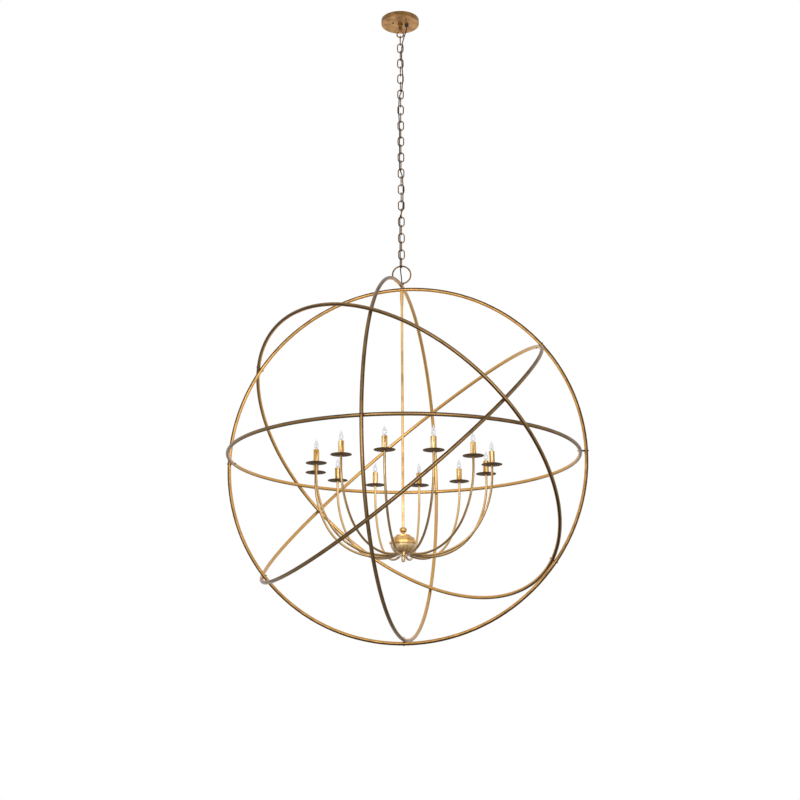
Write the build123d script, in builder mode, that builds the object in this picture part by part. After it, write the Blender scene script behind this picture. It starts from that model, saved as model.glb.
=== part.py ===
from build123d import *

import os
from math import cos, radians, sin, sqrt, tan

# Orb chandelier on a chain: canopy, chain, five crossed rings, stem, ball hub and a circle of candle arms.
# Millimetres. The origin is on the ceiling at the centre of the mounting plate, +Z is up,
# and the photograph looks along +Y. Everything hangs below the ceiling, so heights are negative.

os.makedirs("parts", exist_ok=True)

# Clearances
seat_gap = 0.05
slip = 0.1
screw_slip = 0.15
link_gap = 0.3
ring_seat_gap = 0.25

# Ceiling plate and canopy
plate_d = 100
plate_t = 2.5
plate_slot_spacing = 83
plate_slot_l = 12
plate_slot_w = 4.8
canopy_d = 204
canopy_depth = 26
canopy_t = 1.6
canopy_edge_r = 3
canopy_screw_x = 38
canopy_screw_y = 16
canopy_screw_d = 4
canopy_screw_head_d = 9
canopy_screw_head_h = 3
canopy_nipple_d = 10
canopy_nipple_bore = 7
canopy_nut_af = 16
canopy_nut_h = 5
canopy_collar_d = 28
canopy_collar_h = 12
canopy_hub_d = 17
canopy_hub_h = 30
canopy_loop_d = 42
canopy_loop_wire = 7
wire_nut_d = 11
wire_nut_l = 22
wire_nut_x = 60

# Cord and its bushing
cord_d = 6
cord_entry = 4.5
bushing_x = 35
bushing_flange_d = 22
bushing_flange_h = 9
bushing_barrel_d = 11
bushing_barrel_h = 7
bushing_nose_h = 3

# Chain
chain_count = 29
link_wire = 6.3
link_inner_l = 45.8
link_outer_w = 36

# Loop over the orb
top_loop_d = 102
top_loop_wire = 8
top_base_d = 24
top_base_h = 6.56
top_nipple_d = 10
top_nipple_bore = 7.1

# Orb rings
ring_radius = 906.4
ring_tube_d = 18.4
ring_wall = 1.4
ring_gap = 0.5
bolt_d = 4
bolt_head_d = 8
bolt_head_h = 2.5
nut_d = 8
nut_h = 4
spacer_d = 9

# Stem and the coupling under the rings
collar_d = 19
collar_straight_h = 30
collar_taper_h = 43
collar_groove = 1
collar_stem_depth = 45
stem_d = 13
stem_wall = 1.5
stem_l = 1216.3

# Ball hub
core_d = 9.8
core_wall = 1.5
knob_d = 37
knob_h = 38.5
knob_neck_d = 17
knob_neck_h = 12
knob_foot_d = 32
knob_lip = 3
knob_stem_depth = 12
cap_disc_d = 72
cap_disc_h = 7
cap_d = 123
cap_h = 36.5
rim_d = 140
rim_h = 6.6
bowl_d = 125
bowl_h = 44.5
bowl_flat_d = 76
hub_wall = 2
boss_d = 68
boss_h = 15
finial_d = 20.5
finial_neck_d = 19.5
finial_neck_h = 11.5

# Candle arms
arm_count = 12
arm_phase = -71
arm_reach = 450
arm_tube_d = 12
arm_wall = 1.2
arm_root_r = 25.5
arm_straight = 14
arm_dip = 12
arm_dip_r = 60
arm_turn = 60
arm_upper_r = 470
arm_top_l = 44
arm_nipple_below = 18

# Cups, candle sleeves, sockets and bulbs
cup_d = 104
cup_flat_d = 40
cup_depth = 6
cup_t = 1.5
sleeve_d = 29
sleeve_wall = 3.5
sleeve_h = 70
socket_d = 20
socket_h = sleeve_h - 4
socket_foot_h = 12
bulb_base_d = 11.7
bulb_base_h = 17
bulb_neck_d = 13
bulb_d = 24
bulb_h = 55
bulb_lift = 1
bulb_wide_h = 18
bulb_waist_d = 6
bulb_waist_h = 45
bulb_tip_d = 2.2
bulb_wall = 0.8
filament_d = 2
filament_h = 26

# Ceiling plate: a round steel disc with two slots for the box screws and two tapped holes for the canopy
screw_spots = [(-canopy_screw_x, -canopy_screw_y), (canopy_screw_x, canopy_screw_y)]
with BuildPart() as mounting_plate:
    with BuildSketch(Plane.XY.offset(-plate_t)):
        Circle(plate_d / 2)
        Circle(canopy_nipple_d / 2 + slip, mode=Mode.SUBTRACT)
        with Locations((-plate_slot_spacing / 2, 0), (plate_slot_spacing / 2, 0)):
            SlotOverall(plate_slot_l, plate_slot_w, mode=Mode.SUBTRACT)
        with Locations(*screw_spots):
            Circle(canopy_screw_d / 2 + screw_slip, mode=Mode.SUBTRACT)
    extrude(amount=plate_t)
mounting_plate.part.label = "mounting_plate"
export_step(mounting_plate.part, "parts/mounting_plate.step")

# Canopy: a shallow spun pan, open to the ceiling
canopy_floor_z = -canopy_depth + canopy_t
with BuildPart() as canopy:
    with BuildSketch(Plane.XY.offset(-canopy_depth)):
        Circle(canopy_d / 2)
    extrude(amount=canopy_depth)
    fillet(canopy.faces().sort_by(Axis.Z)[0].edges(), canopy_edge_r)
    with BuildSketch(Plane.XY.offset(canopy_floor_z)):
        Circle(canopy_d / 2 - canopy_t)
    extrude(amount=canopy_depth - canopy_t, mode=Mode.SUBTRACT)
    with BuildSketch(Plane.XY.offset(-canopy_depth)):
        Circle(canopy_nipple_d / 2 + slip)
        with Locations((bushing_x, 0)):
            Circle(bushing_barrel_d / 2 + slip)
        with Locations(*screw_spots):
            Circle(canopy_screw_d / 2 + screw_slip)
    extrude(amount=canopy_t, mode=Mode.SUBTRACT)
canopy.part.label = "canopy"
export_step(canopy.part, "parts/canopy.step")

# Two screws that draw the canopy up to the plate
with BuildPart() as canopy_screws:
    with BuildSketch(Plane.XY.offset(-canopy_depth - seat_gap)):
        with Locations(*screw_spots):
            Circle(canopy_screw_d / 2)
    extrude(amount=canopy_depth + seat_gap)
    with BuildSketch(Plane.XY.offset(-canopy_depth - seat_gap)):
        with Locations(*screw_spots):
            Circle(canopy_screw_head_d / 2)
    extrude(amount=-canopy_screw_head_h)
    fillet(canopy_screws.edges().group_by(Axis.Z)[0], canopy_screw_head_h * 0.6)
canopy_screws.part.label = "canopy_screws"
export_step(canopy_screws.part, "parts/canopy_screws.step")

# Hollow threaded nipple from the plate down into the loop's hub
collar_z = -canopy_depth - seat_gap
hub_top_z = collar_z - canopy_collar_h - seat_gap
nipple_bottom_z = hub_top_z - canopy_hub_h / 2
with BuildPart() as canopy_nipple:
    with BuildSketch(Plane.XY.offset(nipple_bottom_z)):
        Circle(canopy_nipple_d / 2)
        Circle(canopy_nipple_bore / 2, mode=Mode.SUBTRACT)
    extrude(amount=-nipple_bottom_z - seat_gap)
canopy_nipple.part.label = "canopy_nipple"
export_step(canopy_nipple.part, "parts/canopy_nipple.step")

# Hexagon nut that locks the nipple under the plate
with BuildPart() as nipple_nut:
    with BuildSketch(Plane.XY.offset(-plate_t - seat_gap)):
        RegularPolygon(canopy_nut_af / 2, 6, major_radius=False)
        Circle(canopy_nipple_d / 2 + slip, mode=Mode.SUBTRACT)
    extrude(amount=-canopy_nut_h)
nipple_nut.part.label = "nipple_nut"
export_step(nipple_nut.part, "parts/nipple_nut.step")

# Round collar that holds the canopy's centre up
with BuildPart() as canopy_collar:
    with BuildSketch(Plane.XY.offset(collar_z)):
        Circle(canopy_collar_d / 2)
    extrude(amount=-canopy_collar_h)
    chamfer(canopy_collar.edges().group_by(Axis.Z)[0], canopy_collar_h / 3)
    with BuildSketch(Plane.XY.offset(collar_z)):
        Circle(canopy_nipple_d / 2 + slip)
    extrude(amount=-canopy_collar_h, mode=Mode.SUBTRACT)
canopy_collar.part.label = "canopy_collar"
export_step(canopy_collar.part, "parts/canopy_collar.step")

# Loop under the canopy: a short hub with a ring across it
canopy_loop_r = (canopy_loop_d - canopy_loop_wire) / 2
canopy_loop_z = hub_top_z - canopy_hub_h - canopy_loop_r
with BuildPart() as canopy_loop:
    with BuildSketch(Plane.XY.offset(hub_top_z)):
        Circle(canopy_hub_d / 2)
    extrude(amount=-canopy_hub_h)
    chamfer(canopy_loop.edges().group_by(Axis.Z)[0], canopy_hub_d / 4)
    with BuildSketch(Plane.XY.offset(hub_top_z)):
        Circle(canopy_nipple_d / 2 + slip)
    extrude(amount=-canopy_hub_h / 2 - seat_gap, mode=Mode.SUBTRACT)
    with Locations((0, 0, canopy_loop_z)):
        Torus(canopy_loop_r, canopy_loop_wire / 2, rotation=(90, 0, 0))
canopy_loop.part.label = "canopy_loop"
export_step(canopy_loop.part, "parts/canopy_loop.step")

# Twist-on connectors for the house wires, lying on the canopy's floor
with BuildPart() as wire_connectors:
    with BuildSketch(Plane.XZ.offset(-wire_nut_l / 2)):
        with Locations(
            (-wire_nut_x, canopy_floor_z + seat_gap + wire_nut_d / 2),
            (wire_nut_x, canopy_floor_z + seat_gap + wire_nut_d / 2),
        ):
            Circle(wire_nut_d / 2)
    extrude(amount=wire_nut_l, taper=4)
wire_connectors.part.label = "wire_connectors"
export_step(wire_connectors.part, "parts/wire_connectors.step")

# Bushing that the cord comes out of
bushing_z = -canopy_depth - seat_gap
cord_exit_z = bushing_z - bushing_flange_h - bushing_nose_h
with BuildPart() as cord_bushing:
    with BuildSketch(Plane.XY.offset(bushing_z)):
        with Locations((bushing_x, 0)):
            Circle(bushing_barrel_d / 2)
    extrude(amount=bushing_barrel_h)
    with BuildSketch(Plane.XY.offset(bushing_z)):
        with Locations((bushing_x, 0)):
            Circle(bushing_flange_d / 2)
    extrude(amount=-bushing_flange_h)
    with BuildSketch(Plane.XY.offset(bushing_z - bushing_flange_h)):
        with Locations((bushing_x, 0)):
            Circle(bushing_barrel_d / 2)
    extrude(amount=-bushing_nose_h)
cord_bushing.part.label = "cord_bushing"
export_step(cord_bushing.part, "parts/cord_bushing.step")

# Chain: oval wire links, each a quarter turn from the next, the first and last edge-on to the photograph
link_end_r = (link_outer_w - link_wire) / 2
link_span = link_inner_l + link_wire
link_pitch = link_inner_l - link_gap
first_top_z = canopy_loop_z - canopy_loop_r + (canopy_loop_wire + link_wire) / 2 + link_gap
first_link_z = first_top_z - link_span / 2


def link_height(number):
    return first_link_z - (number - 1) * link_pitch


def chain_link(number):
    face = Plane.YZ if number % 2 else Plane.XZ
    half = link_span / 2 - link_end_r
    spot = Plane(origin=(0, 0, link_height(number)), x_dir=face.x_dir, z_dir=face.z_dir)
    with BuildPart() as link:
        with BuildLine(spot) as oval:
            Line((link_end_r, -half), (link_end_r, half))
            ThreePointArc((link_end_r, half), (0, half + link_end_r), (-link_end_r, half))
            Line((-link_end_r, half), (-link_end_r, -half))
            ThreePointArc((-link_end_r, -half), (0, -half - link_end_r), (link_end_r, -half))
        with BuildSketch(Plane(origin=oval.wire() @ 0, z_dir=oval.wire() % 0)):
            Circle(link_wire / 2)
        sweep(path=oval.wire())
    return link.part


with BuildPart() as chain_link_first:
    add(chain_link(1))
chain_link_first.part.label = "chain_link_first"
export_step(chain_link_first.part, "parts/chain_link_first.step")

with BuildPart() as chain_links_middle:
    for number in range(2, chain_count - 1):
        add(chain_link(number))
chain_links_middle.part.label = "chain_links_middle"
export_step(chain_links_middle.part, "parts/chain_links_middle.step")

with BuildPart() as chain_link_next_last:
    add(chain_link(chain_count - 1))
chain_link_next_last.part.label = "chain_link_next_last"
export_step(chain_link_next_last.part, "parts/chain_link_next_last.step")

with BuildPart() as chain_link_last:
    add(chain_link(chain_count))
chain_link_last.part.label = "chain_link_last"
export_step(chain_link_last.part, "parts/chain_link_last.step")

# Orb rings: five tubes of about one size that cross without cutting each other, so that at one of a pair's two
# crossings a ring passes outside and at the other inside. Each is given by its axis, as an azimuth and an
# elevation in degrees, and by how far its centre stands off the orb's centre, in ring pitches. The level ring
# is smaller and lies inside the rest, on spacers.
ring_pitch = ring_tube_d + ring_gap
level_ring_radius = ring_radius - 1.374 * ring_pitch
ring_table = {
    "ring_face": (-98.71, 0, (0.486, -0.074, -0.44), ring_radius),
    "ring_cross": (-11.78, 0, (0.124, 0.594, 0.564), ring_radius),
    "ring_level": (76.1, 89.312, (0.308, 0.177, 0.604), level_ring_radius),
    "ring_low_left": (-156.82, 46.46, (-0.601, 0.137, -0.67), ring_radius),
    "ring_high_left": (38.4, 44.26, (-0.401, -0.877, 0.246), ring_radius),
}


def ring_axis(name):
    azimuth, elevation = radians(ring_table[name][0]), radians(ring_table[name][1])
    return Vector(cos(elevation) * cos(azimuth), cos(elevation) * sin(azimuth), sin(elevation))


def ring_offset(name):
    return Vector(*ring_table[name][2]) * ring_pitch


def crossing(first, second, toward):
    """Where two rings' tubes cross on the side named, from the orb's centre: the line's direction, then
    the point on each tube's centreline. Both points lie on the line where the rings' planes meet."""
    first_n, second_n = ring_axis(first), ring_axis(second)
    first_c, second_c = ring_offset(first), ring_offset(second)
    across = first_n.cross(second_n)
    root = second_n.cross(across) * first_n.dot(first_c) + across.cross(first_n) * second_n.dot(second_c)
    root = root / across.dot(across)
    way = across.normalized()
    if way.dot(Vector(*toward)) < 0:
        way = -way
    spots = []
    for name, centre in ((first, first_c), (second, second_c)):
        along = (centre - root).dot(way)
        aside = (centre - root - way * along).length
        spots.append(root + way * (along + sqrt(ring_table[name][3] ** 2 - aside**2)))
    return way, spots[0], spots[1]


# The loop stands on the outer tube of the top crossing, which sets the orb's height
top_loop_r = (top_loop_d - top_loop_wire) / 2
last_bottom_z = link_height(chain_count) - link_span / 2
top_loop_z = last_bottom_z + (link_wire + top_loop_wire) / 2 + link_gap - top_loop_r
top_base_z = top_loop_z - top_loop_r - top_base_h
top_way, face_top, cross_top = crossing("ring_face", "ring_cross", (0, 0, 1))
orb_z = top_base_z - seat_gap - ring_tube_d / 2 - cross_top.Z
orb = Vector(0, 0, orb_z)

with BuildPart() as top_loop:
    with BuildSketch(Plane.XY.offset(top_base_z)):
        Circle(top_base_d / 2)
    extrude(amount=top_base_h)
    fillet(top_loop.edges().group_by(Axis.Z)[-1], top_base_h / 3)
    with Locations((0, 0, top_loop_z)):
        Torus(top_loop_r, top_loop_wire / 2, rotation=(90, 0, 0))
    with BuildSketch(Plane.XY.offset(top_base_z)):
        Circle(top_nipple_d / 2 + slip)
    extrude(amount=top_base_h + top_loop_wire, mode=Mode.SUBTRACT)
top_loop.part.label = "top_loop"
export_step(top_loop.part, "parts/top_loop.step")

# Bolted crossings: the two rings and the side of the orb they meet on. The first ring named lies outside.
bolted = [
    ("ring_face", "ring_cross", (0, 0, -1)),
    ("ring_face", "ring_level", (1, 0, 0)),
    ("ring_face", "ring_level", (-1, 0, 0)),
    ("ring_cross", "ring_level", (0, -1, 0)),
    ("ring_cross", "ring_level", (0, 1, 0)),
    ("ring_face", "ring_low_left", (1, 0, 1)),
    ("ring_low_left", "ring_face", (-1, 0, -1)),
    ("ring_high_left", "ring_face", (-1, 0, 1)),
    ("ring_face", "ring_high_left", (1, 0, -1)),
]
bolt_spots = []
for outer, inner, toward in bolted:
    way, outer_spot, inner_spot = crossing(outer, inner, toward)
    bolt_spots.append((way, orb + outer_spot, orb + inner_spot))


def ring_tube(name):
    centre = orb + ring_offset(name)
    axis = ring_axis(name)
    side = axis.cross(Vector(0, 0, 1)) if abs(axis.Z) < 0.9 else axis.cross(Vector(0, 1, 0))
    with BuildPart() as tube:
        with BuildSketch(Plane(origin=centre, x_dir=side, z_dir=axis.cross(side))):
            with Locations((ring_table[name][3], 0)):
                Circle(ring_tube_d / 2)
                Circle(ring_tube_d / 2 - ring_wall, mode=Mode.SUBTRACT)
        revolve(axis=Axis(centre, axis))
    return tube.part


for name in ring_table:
    with BuildPart() as ring:
        add(ring_tube(name))
    ring.part.label = name
    export_step(ring.part, f"parts/{name}.step")

# Round-headed bolts through each bolted crossing, cap nuts on their inner ends, and spacers in the wide gaps
with BuildPart() as ring_bolts:
    for way, outer_spot, inner_spot in bolt_spots:
        under_head = outer_spot + way * (ring_tube_d / 2 + seat_gap)
        nut_face = inner_spot - way * (ring_tube_d / 2 + 2 * seat_gap)
        with BuildSketch(Plane(origin=nut_face - way * (nut_h / 2), z_dir=way)):
            Circle(bolt_d / 2)
        extrude(amount=(under_head - nut_face).length + nut_h / 2 + bolt_head_h / 2)
        with BuildSketch(Plane(origin=under_head, z_dir=way)):
            Circle(bolt_head_d / 2)
        extrude(amount=bolt_head_h, taper=20)
ring_bolts.part.label = "ring_bolts"
export_step(ring_bolts.part, "parts/ring_bolts.step")

with BuildPart() as ring_nuts:
    for way, outer_spot, inner_spot in bolt_spots:
        nut_face = inner_spot - way * (ring_tube_d / 2 + 2 * seat_gap)
        with BuildSketch(Plane(origin=nut_face, z_dir=-way)):
            Circle(nut_d / 2)
        extrude(amount=nut_h, taper=12)
        with BuildSketch(Plane(origin=nut_face, z_dir=-way)):
            Circle(bolt_d / 2 + seat_gap)
        extrude(amount=nut_h / 2 + seat_gap, mode=Mode.SUBTRACT)
ring_nuts.part.label = "ring_nuts"
export_step(ring_nuts.part, "parts/ring_nuts.step")

with BuildPart() as ring_spacers:
    for way, outer_spot, inner_spot in bolt_spots[1:5]:
        start = inner_spot + way * (ring_tube_d / 2 + seat_gap)
        finish = outer_spot - way * (ring_tube_d / 2 + seat_gap)
        with BuildSketch(Plane(origin=start, z_dir=way)):
            Circle(spacer_d / 2)
            Circle(bolt_d / 2 + screw_slip, mode=Mode.SUBTRACT)
        extrude(amount=(finish - start).length)
ring_spacers.part.label = "ring_spacers"
export_step(ring_spacers.part, "parts/ring_spacers.step")

# Hollow nipple down the top crossing, from the loop's foot into the coupling
collar_top_z = orb_z + face_top.Z - ring_tube_d / 2 - ring_seat_gap
collar_bottom_z = collar_top_z - collar_straight_h - collar_taper_h
stem_top_z = collar_bottom_z + collar_stem_depth
top_nipple_z = top_base_z + top_base_h * 0.8
with BuildPart() as top_nipple:
    with BuildSketch(Plane.XY.offset(stem_top_z + seat_gap)):
        Circle(top_nipple_d / 2)
        Circle(top_nipple_bore / 2, mode=Mode.SUBTRACT)
    extrude(amount=top_nipple_z - stem_top_z - seat_gap)
top_nipple.part.label = "top_nipple"
export_step(top_nipple.part, "parts/top_nipple.step")

# Tapered coupling that the stem hangs from
groove_z = collar_top_z - collar_straight_h
with BuildPart() as stem_collar:
    with BuildSketch(Plane.XZ):
        with BuildLine():
            Polyline(
                (0, collar_top_z),
                (collar_d / 2, collar_top_z),
                (collar_d / 2, groove_z),
                (collar_d / 2 - collar_groove, groove_z - collar_groove),
                (collar_d / 2, groove_z - 2 * collar_groove),
                (stem_d / 2 + collar_groove, collar_bottom_z),
                (0, collar_bottom_z),
                close=True,
            )
        make_face()
    revolve(axis=Axis.Z)
    with BuildSketch(Plane.XY.offset(collar_bottom_z)):
        Circle(stem_d / 2 + slip)
    extrude(amount=collar_stem_depth, mode=Mode.SUBTRACT)
    with BuildSketch(Plane.XY.offset(stem_top_z)):
        Circle(top_nipple_d / 2 + slip)
    extrude(amount=collar_top_z - stem_top_z, mode=Mode.SUBTRACT)
stem_collar.part.label = "stem_collar"
export_step(stem_collar.part, "parts/stem_collar.step")

# Straight stem tube
stem_bottom_z = stem_top_z - stem_l
with BuildPart() as stem:
    with BuildSketch(Plane.XY.offset(stem_bottom_z)):
        Circle(stem_d / 2)
        Circle(stem_d / 2 - stem_wall, mode=Mode.SUBTRACT)
    extrude(amount=stem_l)
stem.part.label = "stem"
export_step(stem.part, "parts/stem.step")

# Turned knob over the ball, with a neck that flares out onto it
knob_top_z = stem_bottom_z + knob_stem_depth
knob_bottom_z = knob_top_z - knob_h
knob_top_r = stem_d / 2 + knob_lip
knob_neck_z = knob_bottom_z + knob_neck_h
flare_r = (knob_foot_d - knob_neck_d) / 2
with BuildPart() as hub_knob:
    with BuildSketch(Plane.XZ):
        with BuildLine():
            Polyline((0, knob_bottom_z), (0, knob_top_z), (knob_top_r, knob_top_z))
            ThreePointArc(
                (knob_top_r, knob_top_z),
                (knob_d / 2, (knob_top_z + knob_neck_z) / 2),
                (knob_neck_d / 2, knob_neck_z),
            )
            ThreePointArc(
                (knob_neck_d / 2, knob_neck_z),
                (knob_neck_d / 2 + flare_r * 0.25, knob_neck_z - knob_neck_h * 0.6),
                (knob_foot_d / 2, knob_bottom_z),
            )
            Line((knob_foot_d / 2, knob_bottom_z), (0, knob_bottom_z))
        make_face()
    revolve(axis=Axis.Z)
    with BuildSketch(Plane.XY.offset(knob_top_z - knob_stem_depth - seat_gap)):
        Circle(stem_d / 2 + slip)
    extrude(amount=knob_stem_depth + seat_gap, mode=Mode.SUBTRACT)
    with BuildSketch(Plane.XY.offset(knob_bottom_z)):
        Circle(core_d / 2 + slip)
    extrude(amount=knob_h, mode=Mode.SUBTRACT)
hub_knob.part.label = "hub_knob"
export_step(hub_knob.part, "parts/hub_knob.step")

# Upper half of the ball: a step, a dome and an overhanging rim, spun from sheet
cap_top_z = knob_bottom_z - seat_gap
cap_bottom_z = cap_top_z - cap_h
step_z = cap_top_z - cap_disc_h
dome_mid_r = cap_disc_d / 2 + (cap_d - cap_disc_d) * 0.42
dome_mid_z = step_z - (step_z - cap_bottom_z) * 0.42


def dome(inset):
    """Half profile of the stepped dome, drawn in by the sheet's thickness for its inside."""
    with BuildSketch(Plane.XZ) as half:
        with BuildLine():
            Polyline((0, cap_bottom_z), (0, cap_top_z - inset), (cap_disc_d / 2 - inset, cap_top_z - inset))
            Line((cap_disc_d / 2 - inset, cap_top_z - inset), (cap_disc_d / 2 - inset, step_z - inset))
            ThreePointArc(
                (cap_disc_d / 2 - inset, step_z - inset),
                (dome_mid_r - inset, dome_mid_z - inset / 2),
                (cap_d / 2 - inset, cap_bottom_z),
            )
            Line((cap_d / 2 - inset, cap_bottom_z), (0, cap_bottom_z))
        make_face()
    return half.sketch


with BuildPart() as hub_cap:
    revolve(dome(0), axis=Axis.Z)
    revolve(dome(hub_wall), axis=Axis.Z, mode=Mode.SUBTRACT)
    with BuildSketch(Plane.XY.offset(cap_bottom_z - rim_h)):
        Circle(rim_d / 2)
        Circle(cap_d / 2 - hub_wall, mode=Mode.SUBTRACT)
    extrude(amount=rim_h)
    with BuildSketch(Plane.XY.offset(cap_bottom_z)):
        Circle(core_d / 2 + slip)
    extrude(amount=cap_h, mode=Mode.SUBTRACT)
hub_cap.part.label = "hub_cap"
export_step(hub_cap.part, "parts/hub_cap.step")

# Lower half of the ball, with a flat floor over the arm boss
bowl_top_z = cap_bottom_z - rim_h - seat_gap
bowl_bottom_z = bowl_top_z - bowl_h
bowl_mid_r = bowl_flat_d / 2 + (bowl_d - bowl_flat_d) * 0.41
bowl_mid_z = bowl_bottom_z + bowl_h * 0.42


def bowl(inset):
    """Half profile of the bowl, drawn in by the sheet's thickness for its inside."""
    with BuildSketch(Plane.XZ) as half:
        with BuildLine():
            Polyline((0, bowl_bottom_z + inset), (0, bowl_top_z), (bowl_d / 2 - inset, bowl_top_z))
            ThreePointArc(
                (bowl_d / 2 - inset, bowl_top_z),
                (bowl_mid_r - inset, bowl_mid_z + inset / 2),
                (bowl_flat_d / 2 - inset / 2, bowl_bottom_z + inset),
            )
            Line((bowl_flat_d / 2 - inset / 2, bowl_bottom_z + inset), (0, bowl_bottom_z + inset))
        make_face()
    return half.sketch


with BuildPart() as hub_bowl:
    revolve(bowl(0), axis=Axis.Z)
    revolve(bowl(hub_wall), axis=Axis.Z, mode=Mode.SUBTRACT)
    with BuildSketch(Plane.XY.offset(bowl_bottom_z)):
        Circle(core_d / 2 + slip)
    extrude(amount=hub_wall, mode=Mode.SUBTRACT)
hub_bowl.part.label = "hub_bowl"
export_step(hub_bowl.part, "parts/hub_bowl.step")

# Boss under the ball, with a socket in its side for each arm
boss_top_z = bowl_bottom_z - seat_gap
boss_bottom_z = boss_top_z - boss_h
arm_root_z = boss_top_z - boss_h / 2
arm_angles = [arm_phase - 90 + 360 / arm_count * number for number in range(arm_count)]
with BuildPart() as arm_boss:
    with BuildSketch(Plane.XY.offset(boss_bottom_z)):
        Circle(boss_d / 2)
        Circle(core_d / 2 + slip, mode=Mode.SUBTRACT)
    extrude(amount=boss_h)
    for angle in arm_angles:
        way = Vector(1, 0, 0).rotate(Axis.Z, angle)
        with BuildSketch(Plane(origin=way * (arm_root_r - seat_gap) + Vector(0, 0, arm_root_z), z_dir=way)):
            Circle(arm_tube_d / 2 + slip)
        extrude(amount=boss_d, mode=Mode.SUBTRACT)
arm_boss.part.label = "arm_boss"
export_step(arm_boss.part, "parts/arm_boss.step")

# Threaded tube down the ball's middle, from inside the stem to the finial
finial_z = boss_bottom_z - seat_gap - finial_neck_h - finial_d / 2
core_top_z = knob_top_z + knob_stem_depth
with BuildPart() as hub_core:
    with BuildSketch(Plane.XY.offset(finial_z)):
        Circle(core_d / 2)
        Circle(core_d / 2 - core_wall, mode=Mode.SUBTRACT)
    extrude(amount=core_top_z - finial_z)
hub_core.part.label = "hub_core"
export_step(hub_core.part, "parts/hub_core.step")

# Ball finial that closes the stack from below
with BuildPart() as finial:
    with Locations((0, 0, finial_z)):
        Sphere(finial_d / 2)
    with BuildSketch(Plane.XY.offset(finial_z)):
        Circle(finial_neck_d / 2)
    extrude(amount=finial_d / 2 + finial_neck_h)
    with BuildSketch(Plane.XY.offset(finial_z - seat_gap)):
        Circle(core_d / 2 + slip)
    extrude(amount=finial_d / 2 + finial_neck_h + 2 * seat_gap, mode=Mode.SUBTRACT)
finial.part.label = "finial"
export_step(finial.part, "parts/finial.step")

# Swept arms: out of the boss, a shallow dip, one long sweep up, and an upright end
dip, turn = radians(arm_dip), radians(arm_turn)
arm_run = arm_reach - arm_root_r - arm_straight - arm_dip_r * sin(dip) - arm_upper_r * (1 - sin(turn))
arm_sweep_r = arm_run / (sin(dip) + sin(turn))
arm_rise = arm_sweep_r * (cos(dip) - cos(turn)) + arm_upper_r * cos(turn) - arm_dip_r * (1 - cos(dip))
arm_top_z = arm_root_z + arm_rise + arm_top_l


def arm_tube(angle):
    out = Vector(1, 0, 0).rotate(Axis.Z, angle)
    upright = Plane(origin=(0, 0, 0), x_dir=out, z_dir=out.cross(Vector(0, 0, 1)))
    with BuildPart() as tube:
        with BuildLine(upright) as route:
            root = Line((arm_root_r, arm_root_z), (arm_root_r + arm_straight, arm_root_z))
            fall = JernArc((arm_root_r + arm_straight, arm_root_z), (1, 0), arm_dip_r, -arm_dip)
            low_x = arm_root_r + arm_straight + arm_dip_r * sin(dip)
            low_z = arm_root_z - arm_dip_r * (1 - cos(dip))
            JernArc((low_x, low_z), (cos(dip), -sin(dip)), arm_sweep_r, arm_dip + arm_turn)
            high_x = low_x + arm_run
            high_z = low_z + arm_sweep_r * (cos(dip) - cos(turn))
            JernArc((high_x, high_z), (cos(turn), sin(turn)), arm_upper_r, 90 - arm_turn)
            Line((arm_reach, arm_root_z + arm_rise), (arm_reach, arm_top_z))
        with BuildSketch(Plane(origin=route.wire() @ 0, z_dir=route.wire() % 0)):
            Circle(arm_tube_d / 2)
            Circle(arm_tube_d / 2 - arm_wall, mode=Mode.SUBTRACT)
        sweep(path=route.wire())
    return tube.part


for number, angle in enumerate(arm_angles, 1):
    with BuildPart() as arm:
        add(arm_tube(angle))
    arm.part.label = f"arm_{number:02d}"
    export_step(arm.part, f"parts/arm_{number:02d}.step")

# Threaded nipples from each arm's end up into its socket
cup_z = arm_top_z + seat_gap
sleeve_z = cup_z + cup_t + seat_gap
sleeve_top_z = sleeve_z + sleeve_h
candle_spots = [Vector(arm_reach, 0, 0).rotate(Axis.Z, angle) for angle in arm_angles]
candle_places = [(spot.X, spot.Y) for spot in candle_spots]
arm_nipple_d = arm_tube_d - 2 * arm_wall - 2 * slip
with BuildPart() as arm_nipples:
    with BuildSketch(Plane.XY.offset(arm_top_z - arm_nipple_below)):
        with Locations(*candle_places):
            Circle(arm_nipple_d / 2)
            Circle(arm_nipple_d / 2 - arm_wall, mode=Mode.SUBTRACT)
    extrude(amount=arm_nipple_below + cup_t + socket_foot_h)
arm_nipples.part.label = "arm_nipples"
export_step(arm_nipples.part, "parts/arm_nipples.step")

# Shallow cups under the candles
with BuildPart() as one_cup:
    with BuildSketch(Plane.XZ):
        with BuildLine():
            Polyline(
                (arm_nipple_d / 2 + slip, cup_z),
                (cup_flat_d / 2, cup_z),
                (cup_d / 2, cup_z + cup_depth - cup_t),
                (cup_d / 2, cup_z + cup_depth),
                (cup_d / 2 - cup_t, cup_z + cup_depth),
                (cup_flat_d / 2 - cup_t / 2, cup_z + cup_t),
                (arm_nipple_d / 2 + slip, cup_z + cup_t),
                close=True,
            )
        make_face()
    revolve(axis=Axis.Z)
with BuildPart() as cups:
    with Locations(*candle_places):
        add(one_cup.part)
cups.part.label = "cups"
export_step(cups.part, "parts/cups.step")

# Candle sleeves, standing in the cups round the sockets
with BuildPart() as candle_sleeves:
    with BuildSketch(Plane.XY.offset(sleeve_z)):
        with Locations(*candle_places):
            Circle(sleeve_d / 2)
            Circle(sleeve_d / 2 - sleeve_wall, mode=Mode.SUBTRACT)
    extrude(amount=sleeve_h)
candle_sleeves.part.label = "candle_sleeves"
export_step(candle_sleeves.part, "parts/candle_sleeves.step")

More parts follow.
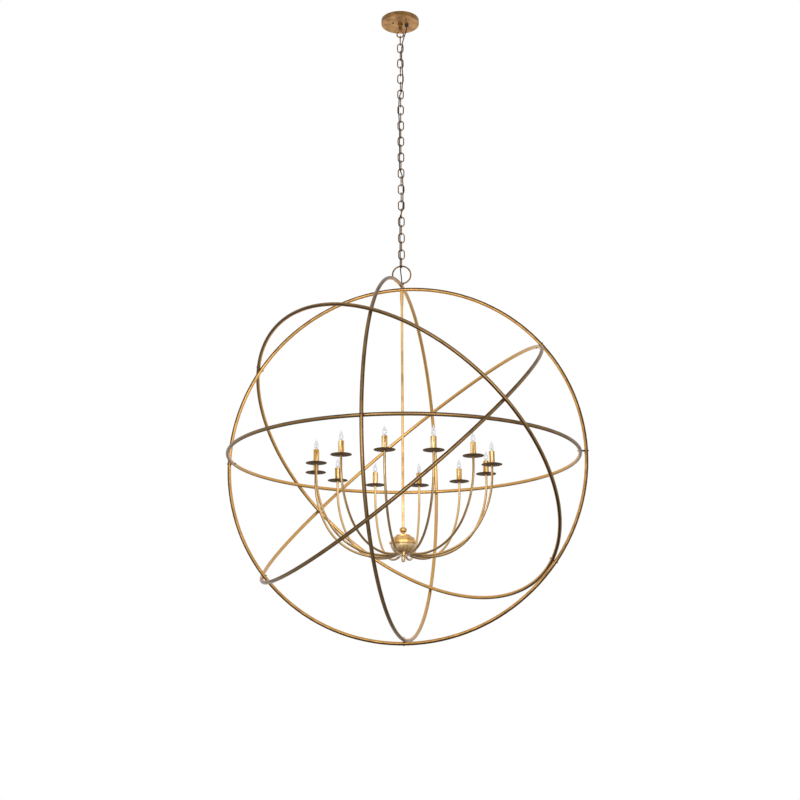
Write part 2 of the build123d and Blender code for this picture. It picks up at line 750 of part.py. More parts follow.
# Sockets: a foot screwed to the nipple and a barrel that takes the bulb's base
with BuildPart() as sockets:
    with BuildSketch(Plane.XY.offset(sleeve_z)):
        with Locations(*candle_places):
            Circle(socket_d / 2)
            Circle(arm_nipple_d / 2 + slip, mode=Mode.SUBTRACT)
    extrude(amount=socket_foot_h)
    with BuildSketch(Plane.XY.offset(sleeve_z + socket_foot_h)):
        with Locations(*candle_places):
            Circle(socket_d / 2)
            Circle(bulb_base_d / 2 + slip, mode=Mode.SUBTRACT)
    extrude(amount=socket_h - socket_foot_h)
sockets.part.label = "sockets"
export_step(sockets.part, "parts/sockets.step")

# Bulb bases, screwed into the sockets up to the glass
bulb_z = sleeve_top_z + bulb_lift
with BuildPart() as bulb_bases:
    with BuildSketch(Plane.XY.offset(bulb_z - bulb_base_h)):
        with Locations(*candle_places):
            Circle(bulb_base_d / 2)
    extrude(amount=bulb_base_h)
bulb_bases.part.label = "bulb_bases"
export_step(bulb_bases.part, "parts/bulb_bases.step")


def flame(inset, height):
    """Half profile of the flame-shaped glass, drawn in by its thickness for the inside."""
    neck, wide, waist, tip = bulb_neck_d / 2 - inset, bulb_d / 2 - inset, bulb_waist_d / 2 - inset, bulb_tip_d / 2 - inset
    start = bulb_z + seat_gap
    with BuildSketch(Plane.XZ) as half:
        with BuildLine():
            Line((0, start), (neck, start))
            ThreePointArc(
                (neck, start),
                (neck + (wide - neck) * 0.72, start + bulb_wide_h * 0.45),
                (wide, start + bulb_wide_h),
            )
            ThreePointArc(
                (wide, start + bulb_wide_h),
                (waist + (wide - waist) * 0.64, start + bulb_wide_h + (bulb_waist_h - bulb_wide_h) * 0.55),
                (waist, start + bulb_waist_h),
            )
            Line((waist, start + bulb_waist_h), (tip, start + height))
            Polyline((tip, start + height), (0, start + height), (0, start))
        make_face()
    return half.sketch


# Flame-tip bulbs of clear glass
with BuildPart() as one_bulb:
    revolve(flame(0, bulb_h), axis=Axis.Z)
    revolve(flame(bulb_wall, bulb_h - bulb_tip_d), axis=Axis.Z, mode=Mode.SUBTRACT)
with BuildPart() as bulb_glass:
    with Locations(*candle_places):
        add(one_bulb.part)
bulb_glass.part.label = "bulb_glass"
export_step(bulb_glass.part, "parts/bulb_glass.step")

# Filaments on their mounts inside the bulbs
with BuildPart() as filaments:
    with BuildSketch(Plane.XY.offset(bulb_z + seat_gap)):
        with Locations(*candle_places):
            Circle(filament_d / 2)
    extrude(amount=filament_h)
filaments.part.label = "filaments"
export_step(filaments.part, "parts/filaments.step")

# Lamp cord: out of the bushing, down the front of the chain close beside its wires, over from one side to the
# other, through one link's eye, then into the loop's foot. Each point is a distance from the chain's middle and a
# height counted in links.
cord_points = [Vector(bushing_x, 0, cord_exit_z)]
cord_points += [
    Vector(x, y, link_height(link))
    for x, y, link in (
        (bushing_x, 0, -0.5),
        (24, -3, 0.35),
        (13.5, -6.6, 1.15),
        (7.5, -7.3, 2),
        (6.8, -7.6, 3),
        (8, -7.2, 4.1),
        (11, -7.6, 5.1),
        (13.5, -7.2, 6.1),
        (8.5, -7.6, 7),
        (7.5, -7.2, 7.6),
        (-7.5, -7.2, 8.36),
        (-8.5, -7.6, 9.1),
        (-11.5, -7.2, 10.1),
        (-8.5, -7.6, 11.1),
        (-6.8, -7.2, 12.1),
        (-6.6, -7.6, 13.2),
        (-7.8, -7.2, 14.3),
        (-6.8, -7.6, 15.4),
        (-7.4, -7.2, 16.3),
        (-7.8, -7.6, 17),
        (-7.5, -7.2, 17.6),
        (7.5, -7.2, 18.36),
        (8.2, -7.6, 19.1),
        (11, -7.2, 20.1),
        (8.5, -7.6, 21.1),
        (9.5, -7.3, 22),
        (8, -7.1, 22.55),
        (-8, -7.1, 23.45),
        (-8, -7.5, 24.1),
        (-7, -7.2, 24.9),
        (-8, -7.6, 25.7),
        (-7, -7.2, 26.55),
        (-7.6, -7.6, 27.5),
        (-7, -7.3, 28.45),
        (-7, -7.9, 29.35),
    )
]
cord_points += [
    Vector(-5.5, -7.6, top_loop_z + cord_d * 2.8),
    Vector(-1.2, -1.6, top_loop_z - cord_d * 2.5),
    Vector(0, 0, top_loop_z - cord_d * 5.8),
    Vector(0, 0, top_nipple_z - cord_entry),
]
cord_radii = [0]
for before, here, after in zip(cord_points, cord_points[1:], cord_points[2:]):
    half_turn = radians((here - before).get_angle(after - here) / 2)
    shorter = min((here - before).length, (after - here).length)
    cord_radii.append(0.45 * shorter / tan(half_turn))
print("cord radii", [round(radius, 1) for radius in cord_radii[1:]])


def cord_stretch(first, last):
    """The cord's tube from the middle of one run to the middle of another, or to an end of the cord."""
    inner = cord_points[first + 1 : last + 1]
    start = cord_points[0] if first == 0 else (cord_points[first] + cord_points[first + 1]) / 2
    finish = cord_points[-1] if last == len(cord_points) - 2 else (cord_points[last] + cord_points[last + 1]) / 2
    with BuildPart() as tube:
        with BuildLine() as route:
            FilletPolyline(start, *inner, finish, radius=cord_radii[first + 1 : last + 1])
        with BuildSketch(Plane(origin=route.wire() @ 0, z_dir=route.wire() % 0)):
            Circle(cord_d / 2)
        sweep(path=route.wire())
    ideal = route.wire().length * 3.14159265 * cord_d**2 / 4
    print("cord stretch", first, last, "length", round(route.wire().length, 1), "volume ratio", round(tube.part.volume / ideal, 4))
    return tube.part


cord_cuts = {
    "cord_canopy": (0, 2),
    "cord_first_link": (2, 4),
    "cord_chain": (4, 32),
    "cord_next_last_link": (32, 33),
    "cord_last_link": (33, 34),
    "cord_orb": (34, len(cord_points) - 2),
}
for name, (first, last) in cord_cuts.items():
    with BuildPart() as cord:
        add(cord_stretch(first, last))
    cord.part.label = name
    export_step(cord.part, f"parts/{name}.step")

print("orb centre", round(orb_z, 2), "stem bottom", round(stem_bottom_z - orb_z, 1), "cups", round(cup_z - orb_z, 1))
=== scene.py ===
from math import cos, radians, sin

import bpy
from mathutils import Matrix, Vector


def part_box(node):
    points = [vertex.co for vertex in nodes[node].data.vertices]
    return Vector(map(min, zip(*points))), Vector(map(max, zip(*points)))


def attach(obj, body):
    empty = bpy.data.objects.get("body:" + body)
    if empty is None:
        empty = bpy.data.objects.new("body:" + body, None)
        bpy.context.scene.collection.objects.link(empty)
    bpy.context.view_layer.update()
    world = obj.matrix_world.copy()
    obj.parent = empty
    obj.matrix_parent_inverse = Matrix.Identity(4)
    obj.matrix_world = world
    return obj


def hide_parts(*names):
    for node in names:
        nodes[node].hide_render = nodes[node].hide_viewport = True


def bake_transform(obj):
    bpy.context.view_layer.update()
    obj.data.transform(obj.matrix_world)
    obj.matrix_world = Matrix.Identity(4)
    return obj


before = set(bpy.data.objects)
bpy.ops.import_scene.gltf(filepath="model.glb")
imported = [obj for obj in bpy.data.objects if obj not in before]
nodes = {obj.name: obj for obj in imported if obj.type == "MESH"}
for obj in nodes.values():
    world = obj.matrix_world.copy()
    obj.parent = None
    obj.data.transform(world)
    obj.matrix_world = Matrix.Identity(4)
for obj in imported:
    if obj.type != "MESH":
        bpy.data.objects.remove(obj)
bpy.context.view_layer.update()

# Camera
# It stands about seven metres in front of the orb and below it, and looks up at the orb and its chain.
orb_z = -2.44161
eye_back = 7.132
eye_drop = 1.5244
yaw, pitch, roll = radians(0.0981), radians(14.4198), radians(-0.3231)
ahead = Vector((-sin(yaw) * cos(pitch), cos(yaw) * cos(pitch), sin(pitch)))
right = Vector((cos(yaw), sin(yaw), 0))
up = right.cross(ahead)
turned_right = right * cos(roll) + up * sin(roll)
turned_up = up * cos(roll) - right * sin(roll)
eye = Vector((0, -eye_back, orb_z - eye_drop))
camera_data = bpy.data.cameras.new("photo_camera")
camera_data.sensor_width = 36
camera_data.lens = 65.31
camera = bpy.data.objects.new("photo_camera", camera_data)
bpy.context.scene.collection.objects.link(camera)
camera.matrix_world = Matrix((
    (turned_right.x, turned_up.x, -ahead.x, eye.x),
    (turned_right.y, turned_up.y, -ahead.y, eye.y),
    (turned_right.z, turned_up.z, -ahead.z, eye.z),
    (0, 0, 0, 1),
))
bpy.context.scene.camera = camera
bpy.context.scene.view_settings.view_transform = "Standard"

# Ceiling plate and threaded nipples
# Pressed and rolled steel with a bright zinc coat. The plate screws to the outlet box, and the nipples
# and the hollow core hold the stack of pieces together.


def paint_graph(name, metallic, roughness=None):
    """A finish's material, node tree, shader and object coordinates. A ramp may set its roughness."""
    material = bpy.data.materials.new(name)
    material.use_nodes = True
    tree = material.node_tree
    shader = tree.nodes["Principled BSDF"]
    shader.inputs["Metallic"].default_value = metallic
    if roughness is not None:
        shader.inputs["Roughness"].default_value = roughness
    place = tree.nodes.new("ShaderNodeTexCoord")
    return material, tree, shader, place.outputs["Object"]


def mottle(tree, place, scale, detail, stretch=(1, 1, 1)):
    """Noise over the object's coordinates, stretched along an axis for brushed and streaked finishes."""
    mapping = tree.nodes.new("ShaderNodeMapping")
    mapping.inputs["Scale"].default_value = stretch
    tree.links.new(place, mapping.inputs["Vector"])
    noise = tree.nodes.new("ShaderNodeTexNoise")
    noise.inputs["Scale"].default_value = scale
    noise.inputs["Detail"].default_value = detail
    tree.links.new(mapping.outputs["Vector"], noise.inputs["Vector"])
    return noise.outputs["Fac"]


def ramp(tree, value, *stops):
    """A colour ramp over a value, with its stops given as position and colour."""
    node = tree.nodes.new("ShaderNodeValToRGB")
    band = node.color_ramp.elements
    for element, (position, colour) in ((band[0], stops[0]), (band[1], stops[-1])):
        element.position = position
        element.color = (*colour, 1)
    for position, colour in stops[1:-1]:
        band.new(position).color = (*colour, 1)
    tree.links.new(value, node.inputs["Fac"])
    return node.outputs["Color"]


def tint(tree, shader, value, *stops):
    """A colour ramp over a value, into the shader's base colour."""
    tree.links.new(ramp(tree, value, *stops), shader.inputs["Base Color"])


def relief(tree, shader, value, strength, distance):
    """Bump from a value, into the shader's normal."""
    bump = tree.nodes.new("ShaderNodeBump")
    bump.inputs["Strength"].default_value = strength
    bump.inputs["Distance"].default_value = distance
    tree.links.new(value, bump.inputs["Height"])
    tree.links.new(bump.outputs["Normal"], shader.inputs["Normal"])


def dress(material, *names):
    """Puts a material on CAD nodes."""
    for name in names:
        piece = nodes[name]
        if not piece.material_slots:
            piece.data.materials.append(material)
        for spot in piece.material_slots:
            spot.material = material


zinc, tree, shader, place = paint_graph("zinc_coat", 0.9, 0.4)
spangle = mottle(tree, place, 180, 3)
tint(tree, shader, spangle, (0.3, (0.42, 0.42, 0.4)), (0.7, (0.62, 0.62, 0.6)))
relief(tree, shader, spangle, 0.15, 0.0002)
dress(zinc, "mounting_plate", "canopy_nipple", "nipple_nut", "top_nipple", "arm_nipples", "hub_core")

# Canopy, its collar and its loop
# A shallow steel pan, spun and painted antique gold over brown, screwed up to the plate. Its downward face is
# painted paler than its wall.
# The collar and the cast loop close it below, and the first link hangs in the loop.
wall_tilt = -0.5
face_tilt = -0.9


def dulling(tree, shader, value, *stops):
    """A ramp over a value, into the shader's roughness, with its stops given as position and roughness."""
    greys = [(position, (dull,) * 3) for position, dull in stops]
    tree.links.new(ramp(tree, value, *greys), shader.inputs["Roughness"])


canopy_gold, tree, shader, place = paint_graph("canopy_gold", 0.8)
cloud = mottle(tree, place, 26, 6)
grain = mottle(tree, place, 420, 4)
pale = ramp(
    tree, cloud,
    (0.3, (0.34, 0.165, 0.055)), (0.5, (0.54, 0.285, 0.1)), (0.75, (0.66, 0.38, 0.145)),
)
brown = ramp(
    tree, cloud,
    (0.3, (0.12, 0.058, 0.015)), (0.5, (0.21, 0.108, 0.03)), (0.75, (0.32, 0.18, 0.055)),
)
shape = tree.nodes.new("ShaderNodeTexCoord")
upward = tree.nodes.new("ShaderNodeSeparateXYZ")
tree.links.new(shape.outputs["Normal"], upward.inputs["Vector"])
downward = tree.nodes.new("ShaderNodeMapRange")
downward.inputs["From Min"].default_value = wall_tilt
downward.inputs["From Max"].default_value = face_tilt
tree.links.new(upward.outputs["Z"], downward.inputs["Value"])
face = tree.nodes.new("ShaderNodeMix")
face.data_type = "RGBA"
tree.links.new(downward.outputs["Result"], face.inputs["Factor"])
tree.links.new(brown, face.inputs["A"])
tree.links.new(pale, face.inputs["B"])
tree.links.new(face.outputs["Result"], shader.inputs["Base Color"])
dulling(tree, shader, grain, (0.3, 0.3), (0.7, 0.55))
relief(tree, shader, grain, 0.25, 0.0004)
dress(canopy_gold, "canopy", "canopy_collar", "canopy_loop")

# Screws, bolts, nuts and spacers
# Turned steel in dark bronze: two round-headed screws that hold the canopy up to the plate, and the fasteners
# at the crossings of the rings.
fastener, tree, shader, place = paint_graph("dark_fastener", 0.9, 0.42)
wear = mottle(tree, place, 300, 4)
tint(tree, shader, wear, (0.35, (0.03, 0.02, 0.012)), (0.7, (0.12, 0.075, 0.035)))
relief(tree, shader, wear, 0.2, 0.0003)
dress(fastener, "canopy_screws", "ring_bolts", "ring_nuts", "ring_spacers")

# Wire connectors
# Moulded orange plastic caps, unseen inside the canopy.
connector, tree, shader, place = paint_graph("connector_plastic", 0, 0.35)
haze = mottle(tree, place, 220, 2)
tint(tree, shader, haze, (0.3, (0.62, 0.2, 0.03)), (0.7, (0.75, 0.28, 0.05)))
relief(tree, shader, haze, 0.1, 0.0002)
dress(connector, "wire_connectors")

# Cord bushing and sockets
# Moulded black plastic with a fine spark-eroded grain. The bushing keeps the cord off the canopy's edge,
# and each socket stands unseen in a candle sleeve.
black, tree, shader, place = paint_graph("moulded_black", 0, 0.5)
grain = mottle(tree, place, 900, 3)
tint(tree, shader, grain, (0.3, (0.012, 0.011, 0.01)), (0.7, (0.03, 0.027, 0.024)))
relief(tree, shader, grain, 0.3, 0.0002)
dress(black, "cord_bushing", "sockets")

# Chain
# Oval links bent from round steel rod and closed at one side, painted as the canopy is, with brown mottled
# through the gold at random.
chain_gold, tree, shader, place = paint_graph("chain_gold", 0.88, 0.38)
cloud = mottle(tree, place, 60, 5)
rub = mottle(tree, place, 500, 3)
tint(
    tree, shader, cloud,
    (0.3, (0.065, 0.032, 0.009)), (0.52, (0.18, 0.095, 0.026)), (0.75, (0.38, 0.21, 0.062)),
)
relief(tree, shader, rub, 0.25, 0.0004)
dress(chain_gold, "chain_link_first", "chain_links_middle", "chain_link_next_last", "chain_link_last")

# Lamp cord
# A round jacketed cord of dark brown plastic. It drops from the bushing, lies down the front of the chain
# from one side of its links to the other, passes through one of them, and goes into the foot of the loop
# over the orb.
cord_d = 0.006
cord_entry = 0.0045
loop_half_w = 0.051
link_spaces = 28


def box_middle(name, axis):
    """The middle of a CAD node's box along an axis."""
    low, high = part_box(name)
    return (low[axis] + high[axis]) / 2


first_z = box_middle("chain_link_first", 2)
pitch_z = (first_z - box_middle("chain_link_last", 2)) / link_spaces
loop_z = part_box("top_loop")[1][2] - loop_half_w
entry_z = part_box("top_nipple")[1][2] - cord_entry
route = [(box_middle("cord_bushing", 0), 0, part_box("cord_bushing")[0][2])]

# Beside the chain each spot is given across, in depth and by the number of the link that it lies at
for x, y, link in (
    (0.035, 0, -0.5), (0.024, -0.003, 0.35), (0.0135, -0.0066, 1.15), (0.0075, -0.0073, 2),
    (0.0068, -0.0076, 3), (0.008, -0.0072, 4.1), (0.011, -0.0076, 5.1), (0.0135, -0.0072, 6.1),
    (0.0085, -0.0076, 7), (0.0075, -0.0072, 7.6), (-0.0075, -0.0072, 8.36), (-0.0085, -0.0076, 9.1),
    (-0.0115, -0.0072, 10.1), (-0.0085, -0.0076, 11.1), (-0.0068, -0.0072, 12.1), (-0.0066, -0.0076, 13.2),
    (-0.0078, -0.0072, 14.3), (-0.0068, -0.0076, 15.4), (-0.0074, -0.0072, 16.3), (-0.0078, -0.0076, 17),
    (-0.0075, -0.0072, 17.6), (0.0075, -0.0072, 18.36), (0.0082, -0.0076, 19.1), (0.011, -0.0072, 20.1),
    (0.0085, -0.0076, 21.1), (0.0095, -0.0073, 22), (0.008, -0.0071, 22.55), (-0.008, -0.0071, 23.45),
    (-0.008, -0.0075, 24.1), (-0.007, -0.0072, 24.9), (-0.008, -0.0076, 25.7), (-0.007, -0.0072, 26.55),
    (-0.0076, -0.0076, 27.5), (-0.007, -0.0073, 28.45), (-0.007, -0.0079, 29.35),
):
    route.append((x, y, first_z - (link - 1) * pitch_z))
route += [
    (-0.0055, -0.0076, loop_z + cord_d * 2.8),
    (-0.0012, -0.0016, loop_z - cord_d * 2.5),
    (0, 0, loop_z - cord_d * 5.8),
    (0, 0, entry_z),
]

line_data = bpy.data.curves.new("cord_line", "CURVE")
line_data.dimensions = "3D"
line_data.resolution_u = 12
spline = line_data.splines.new("NURBS")
spline.points.add(len(route) - 1)
for point, spot in zip(spline.points, route):
    point.co = (*spot, 1)
spline.use_endpoint_u = True
spline.order_u = 3
line = bpy.data.objects.new("cord_line", line_data)
bpy.context.scene.collection.objects.link(line)
bpy.context.view_layer.update()
line_mesh = bpy.data.meshes.new_from_object(line.evaluated_get(bpy.context.evaluated_depsgraph_get()))
trail = [vertex.co.copy() for vertex in line_mesh.vertices]
bpy.data.meshes.remove(line_mesh)
bpy.data.objects.remove(line)

jacket, tree, shader, place = paint_graph("cord_jacket", 0, 0.6)
shader.inputs["Specular IOR Level"].default_value = 0.2
scuff = mottle(tree, place, 350, 4)
tint(tree, shader, scuff, (0.3, (0.014, 0.009, 0.007)), (0.72, (0.045, 0.03, 0.022)))
relief(tree, shader, scuff, 0.2, 0.0002)


def nearest(spot):
    """The number of the trail's point nearest to a spot."""
    return min(range(len(trail)), key=lambda number: (trail[number] - spot).length)


def run_middle(number):
    """The middle of one of the route's runs."""
    return (Vector(route[number]) + Vector(route[number + 1])) / 2


# Each stretch hangs between two of the chain's joints and is a piece of its own; the stretch along the chain
# goes on the chain, the rest stay where they are laid
stretches = (
    ("cord_canopy", 0, 2, "canopy", "first_link"),
    ("cord_first_link", 2, 4, "first_link", "chain"),
    ("cord_chain", 4, 32, "chain", None),
    ("cord_next_last_link", 32, 33, "chain", "next_last_link"),
    ("cord_last_link", 33, 34, "next_last_link", "last_link"),
    ("cord_orb", 34, len(route) - 1, "last_link", "orb"),
)
for name, first, last, above, below in stretches:
    start = 0 if first == 0 else nearest(run_middle(first))
    finish = len(trail) - 1 if last == len(route) - 1 else nearest(run_middle(last))
    spots = trail[start : finish + 1]
    tube_data = bpy.data.curves.new(name + "_jacket", "CURVE")
    tube_data.dimensions = "3D"
    tube_data.bevel_depth = cord_d / 2
    tube_data.bevel_resolution = 4
    tube_data.use_fill_caps = True
    tube = tube_data.splines.new("POLY")
    tube.points.add(len(spots) - 1)
    for point, spot in zip(tube.points, spots):
        point.co = (*spot, 1)
    piece = bpy.data.objects.new(name + "_jacket", tube_data)
    bpy.context.scene.collection.objects.link(piece)
    bpy.ops.object.select_all(action="DESELECT")
    piece.select_set(True)
    bpy.context.view_layer.objects.active = piece
    bpy.ops.object.convert(target="MESH")
    bpy.ops.object.shade_smooth_by_angle(angle=radians(60))
    piece = bpy.context.view_layer.objects.active
    piece.data.materials.clear()
    piece.data.materials.append(jacket)
    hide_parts(name)
    if below:
        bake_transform(piece)
    else:
        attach(piece, above)

# Orb rings and the loop over them
# Round steel tube rolled into hoops, finished in antique gold. Its colour is painted light and shade: bright
# gold on the inner face is painted light, the dark brown outer face is painted shade, and a paler line along
# the outer ridge is a painted highlight. The painted light lies towards the top of the inner face and the
# painted highlight towards the foot of the outer one.
# How far above the orb's centre the painted light and painted highlight are aimed.
painted_light_rise = 0.25
patch_depth = 0.8


def light_and_shade_tone(name, centre, lit_colour, middle, shade_colour, highlight_colour):
    """Painted light on faces that look in to a centre, painted shade on those that look out, with a painted
    highlight along their ridge.
    """
    material, tree, shader, place = paint_graph(name, 0.85)
    away = tree.nodes.new("ShaderNodeVectorMath")
    away.operation = "SUBTRACT"
    away.inputs[1].default_value = centre
    tree.links.new(place, away.inputs[0])
    unit = tree.nodes.new("ShaderNodeVectorMath")
    unit.operation = "NORMALIZE"
    tree.links.new(away.outputs[0], unit.inputs[0])
    shape = tree.nodes.new("ShaderNodeNewGeometry")
    facing = tree.nodes.new("ShaderNodeVectorMath")
    facing.operation = "DOT_PRODUCT"
    tree.links.new(unit.outputs[0], facing.inputs[0])
    tree.links.new(shape.outputs["Normal"], facing.inputs[1])
    cloud = mottle(tree, place, 22, 6)
    patch = tree.nodes.new("ShaderNodeMath")
    patch.operation = "MULTIPLY_ADD"
    patch.inputs[1].default_value = patch_depth
    patch.inputs[2].default_value = -patch_depth / 2
    tree.links.new(cloud, patch.inputs[0])
    mixed = tree.nodes.new("ShaderNodeMath")
    mixed.operation = "ADD"
    tree.links.new(facing.outputs["Value"], mixed.inputs[0])
    tree.links.new(patch.outputs[0], mixed.inputs[1])
    span = tree.nodes.new("ShaderNodeMapRange")
    span.inputs["From Min"].default_value = -1
    span.inputs["From Max"].default_value = 1
    tree.links.new(mixed.outputs[0], span.inputs["Value"])
    # Painted light and shade: gold where faces look in, brown where they look out, a painted highlight along
    # the outer ridge.
    tint(
        tree, shader, span.outputs["Result"],
        (0.12, lit_colour), (0.46, middle), (0.66, shade_colour), (0.84, shade_colour), (0.95, highlight_colour),
    )
    grain = mottle(tree, place, 380, 4)
    dulling(tree, shader, grain, (0.3, 0.26), (0.7, 0.44))
    relief(tree, shader, grain, 0.2, 0.0004)
    return material


ring_gold_painted_light = light_and_shade_tone(
    "ring_gold_painted_light",
    centre=(0, 0, orb_z + painted_light_rise),
    lit_colour=(0.62, 0.35, 0.105),
    middle=(0.27, 0.14, 0.04),
    shade_colour=(0.05, 0.026, 0.009),
    highlight_colour=(0.2, 0.115, 0.042),
)
dress(ring_gold_painted_light, "ring_face", "ring_cross", "ring_level", "ring_low_left", "ring_high_left")
dress(chain_gold, "top_loop")

# Stem and its coupling
# Drawn steel tube, leafed bright gold, with the leaf's long brush streaks running up it.
stem_gold, tree, shader, place = paint_graph("stem_gold", 0.82, 0.34)
streak = mottle(tree, place, 120, 4, (1, 1, 0.04))
cloud = mottle(tree, place, 14, 4)
both = tree.nodes.new("ShaderNodeMath")
both.operation = "ADD"
tree.links.new(streak, both.inputs[0])
tree.links.new(cloud, both.inputs[1])
half = tree.nodes.new("ShaderNodeMath")
half.operation = "MULTIPLY"
half.inputs[1].default_value = 0.5
tree.links.new(both.outputs[0], half.inputs[0])
tint(
    tree, shader, half.outputs[0],
    (0.36, (0.42, 0.21, 0.055)), (0.5, (0.66, 0.4, 0.14)), (0.66, (0.84, 0.58, 0.25)),
)
relief(tree, shader, streak, 0.2, 0.0003)
dress(stem_gold, "stem", "stem_collar")

# Ball hub
# Two spun steel halves with a turned knob above and a turned boss and finial below. The knob and the upper
# half are leafed warm gold, and the bowl and what is under it a paler, duller one, both with specks of brown.
# The two are lit and shaded copies of one gold: the brighter upper one is painted light from above, the
# duller lower one painted shade.
hub_lit_colours = ((0.44, 0.23, 0.065), (0.72, 0.44, 0.16), (0.9, 0.64, 0.29))
bowl_shaded_colours = ((0.28, 0.185, 0.09), (0.5, 0.37, 0.2), (0.7, 0.55, 0.34))
# Painted light on the upper gold, painted shade on the lower one.
for name, (low, mid, high), gilded in (
    ("hub_gold_painted_light", hub_lit_colours, ("hub_knob", "hub_cap")),
    ("bowl_gold_painted_shade", bowl_shaded_colours, ("hub_bowl", "arm_boss", "finial")),
):
    leaf, tree, shader, place = paint_graph(name, 0.88)
    cloud = mottle(tree, place, 40, 6)
    speck = mottle(tree, place, 240, 5)
    tint(tree, shader, cloud, (0.3, low), (0.55, mid), (0.75, high))
    dulling(tree, shader, speck, (0.35, 0.3), (0.7, 0.44))
    relief(tree, shader, speck, 0.15, 0.0003)
    dress(leaf, *gilded)

# Candle arms
# Bent steel tube, pushed into the boss at one end and upright at the other. The gold towards the stem is
# painted light and the brown on the outer side is painted shade, with a painted highlight along the outer
# ridge.
arm_count = 12
# Painted light and shade, as on the rings.
arm_gold_painted_light = light_and_shade_tone(
    "arm_gold_painted_light",
    centre=(0, 0, orb_z),
    lit_colour=(0.72, 0.47, 0.21),
    middle=(0.5, 0.31, 0.125),
    shade_colour=(0.15, 0.09, 0.035),
    highlight_colour=(0.38, 0.25, 0.11),
)
dress(arm_gold_painted_light, *[f"arm_{number:02d}" for number in range(1, arm_count + 1)])

# Cups
# Shallow spun saucers, clamped between each arm and its candle. Their dark brown is painted shade, for the
# shade they lie in beneath the candles.
cup_painted_shade, tree, shader, place = paint_graph("cup_painted_shade", 0.1, 0.6)
shader.inputs["Specular IOR Level"].default_value = 0.08
cloud = mottle(tree, place, 50, 5)
grain = mottle(tree, place, 420, 4)
# Painted shade: dark brown standing for cups lying in shade.
tint(
    tree, shader, cloud,
    (0.3, (0.07, 0.037, 0.014)), (0.55, (0.125, 0.068, 0.026)), (0.8, (0.2, 0.113, 0.046)),
)
relief(tree, shader, grain, 0.2, 0.0004)
dress(cup_painted_shade, "cups")

# Candle sleeves
# Thick covers over the sockets, leafed in warm gold that runs down them in streaks as wax would. The palest
# streaks are painted highlight.
sleeve_gold_and_highlight, tree, shader, place = paint_graph("sleeve_gold_and_highlight", 0.9, 0.24)
streak = mottle(tree, place, 190, 3, (1, 1, 0.05))
# The palest stop is painted highlight; the other streaks vary at random.
tint(
    tree, shader, streak,
    (0.4, (0.24, 0.1, 0.012)), (0.5, (0.6, 0.33, 0.065)), (0.59, (0.93, 0.76, 0.44)),
)
relief(tree, shader, streak, 0.3, 0.0005)
dress(sleeve_gold_and_highlight, "candle_sleeves")

# Bulbs
# Clear flame-tip lamps: blown glass on a rolled brass screw base.
base_brass, tree, shader, place = paint_graph("base_brass", 0.95, 0.3)
tarnish = mottle(tree, place, 300, 4)
tint(tree, shader, tarnish, (0.3, (0.5, 0.36, 0.15)), (0.7, (0.72, 0.56, 0.28)))
dress(base_brass, "bulb_bases")

glass, tree, shader, place = paint_graph("clear_glass", 0, 0.02)
shader.inputs["Transmission Weight"].default_value = 1
shader.inputs["IOR"].default_value = 1.45
ripple = mottle(tree, place, 90, 2)
tint(tree, shader, ripple, (0.2, (0.84, 0.85, 0.87)), (0.8, (0.9, 0.9, 0.91)))
dress(glass, "bulb_glass")

# Filament mounts
# In each bulb a tapered glass stem stands on the base, with two stiff nickel wires in it and the thin coil
# between their tips.
first_turn = -161
candle_reach = 0.45
mount_h, mount_foot_r, mount_top_r = 0.012, 0.0032, 0.0014
wire_r, wire_low_h, wire_tip_h = 0.00028, 0.009, 0.0245
wire_low_side, wire_tip_side = 0.0007, 0.0032
coil_r, coil_rise = 0.00022, 0.0012

filament, tree, shader, place = paint_graph("filament_wire", 0.9, 0.35)
draw = mottle(tree, place, 700, 2)
tint(tree, shader, draw, (0.3, (0.3, 0.3, 0.3)), (0.7, (0.55, 0.54, 0.52)))
stem_glass, tree, shader, place = paint_graph("stem_glass", 0, 0.08)
shader.inputs["Transmission Weight"].default_value = 0.85
cast = mottle(tree, place, 160, 2)
tint(tree, shader, cast, (0.3, (0.8, 0.82, 0.83)), (0.7, (0.88, 0.89, 0.9)))


def rod(start, finish, thick, thin, sides, finish_paint):
    """A round rod from one point to another, as thick at its ends as given."""
    along = Vector(finish) - Vector(start)
    bpy.ops.object.select_all(action="DESELECT")
    bpy.ops.mesh.primitive_cone_add(
        vertices=sides, radius1=thick, radius2=thin, depth=along.length,
        location=(Vector(start) + Vector(finish)) / 2, rotation=along.to_track_quat("Z", "Y").to_euler(),
    )
    piece = bpy.context.view_layer.objects.active
    bpy.ops.object.transform_apply(location=True, rotation=True, scale=True)
    bpy.ops.object.shade_smooth_by_angle(angle=radians(40))
    piece.data.materials.append(finish_paint)
    return piece


def rise(height):
    """A step straight up."""
    return Vector((0, 0, height))


base_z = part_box("filaments")[0][2]
mount_rods = []
for number in range(arm_count):
    turn = radians(first_turn + 360 / arm_count * number)
    out, side = Vector((cos(turn), sin(turn), 0)), Vector((-sin(turn), cos(turn), 0))
    foot = out * candle_reach + rise(base_z)
    mount_rods.append(rod(foot, foot + rise(mount_h), mount_foot_r, mount_top_r, 16, stem_glass))
    tips = []
    for way in (-1, 1):
        low = foot + side * (wire_low_side * way) + rise(wire_low_h)
        tips.append(foot + side * (wire_tip_side * way) + rise(wire_tip_h))
        mount_rods.append(rod(low, tips[-1], wire_r, wire_r, 8, filament))
    peak = (tips[0] + tips[1]) / 2 + rise(coil_rise)
    mount_rods.append(rod(tips[0], peak, coil_r, coil_r, 8, filament))
    mount_rods.append(rod(peak, tips[1], coil_r, coil_r, 8, filament))
bpy.ops.object.select_all(action="DESELECT")
for piece in mount_rods:
    piece.select_set(True)
bpy.context.view_layer.objects.active = mount_rods[0]
bpy.ops.object.join()
mounts = bpy.context.view_layer.objects.active
mounts.name = "filament_mounts"
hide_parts("filaments")
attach(mounts, "orb")

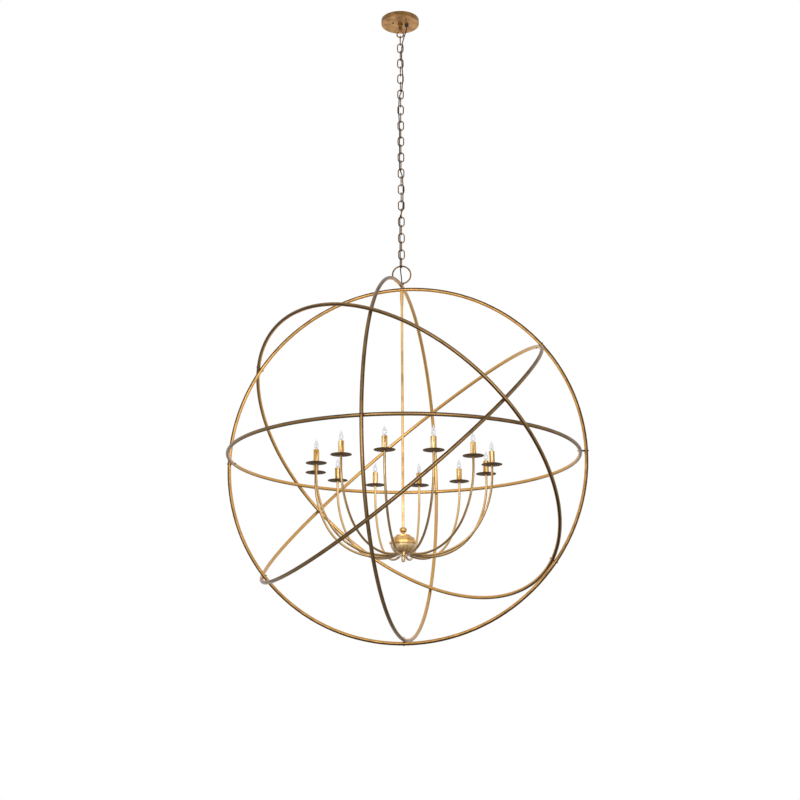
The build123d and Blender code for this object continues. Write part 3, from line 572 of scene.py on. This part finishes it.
# Studio
# A pale floor far below, a white surround, and one broad soft lamp on each side of the camera.
floor_size, floor_z = 24, -12
lamp_size, lamp_side, lamp_back, lamp_drop = 2.4, 2.2, 6.6, 0.3
bpy.ops.object.select_all(action="DESELECT")
bpy.ops.mesh.primitive_plane_add(size=floor_size, location=(0, 0, floor_z))
floor = bpy.context.view_layer.objects.active
floor.name = "studio_floor"
floor_paint = bpy.data.materials.new("studio_floor")
floor_paint.use_nodes = True
floor_shader = floor_paint.node_tree.nodes["Principled BSDF"]
floor_shader.inputs["Base Color"].default_value = (0.85, 0.85, 0.85, 1)
floor_shader.inputs["Roughness"].default_value = 0.9
floor.data.materials.append(floor_paint)

world = bpy.data.worlds.new("white_surround")
bpy.context.scene.world = world
world.use_nodes = True
tree = world.node_tree
ground = tree.nodes["Background"]
ground.inputs["Color"].default_value = (1, 1, 1, 1)
ground.inputs["Strength"].default_value = 0.4
seen = tree.nodes.new("ShaderNodeBackground")
seen.inputs["Color"].default_value = (1, 1, 1, 1)
seen.inputs["Strength"].default_value = 1
path = tree.nodes.new("ShaderNodeLightPath")
ray = path.outputs["Is Camera Ray"]
for kind in ("Is Glossy Ray", "Is Transmission Ray"):
    either = tree.nodes.new("ShaderNodeMath")
    either.operation = "MAXIMUM"
    tree.links.new(ray, either.inputs[0])
    tree.links.new(path.outputs[kind], either.inputs[1])
    ray = either.outputs[0]
mix = tree.nodes.new("ShaderNodeMixShader")
tree.links.new(ray, mix.inputs["Fac"])
tree.links.new(ground.outputs["Background"], mix.inputs[1])
tree.links.new(seen.outputs["Background"], mix.inputs[2])
tree.links.new(mix.outputs["Shader"], tree.nodes["World Output"].inputs["Surface"])

for side, strength in ((-1, 200), (1, 150)):
    lamp_data = bpy.data.lights.new("soft_lamp", "AREA")
    lamp_data.energy = strength
    lamp_data.size = lamp_size
    lamp = bpy.data.objects.new("soft_lamp", lamp_data)
    bpy.context.scene.collection.objects.link(lamp)
    lamp.location = (side * lamp_side, -lamp_back, orb_z - lamp_drop)
    lamp.rotation_euler = (Vector((0, 0, orb_z)) - lamp.location).to_track_quat("-Z", "Y").to_euler()
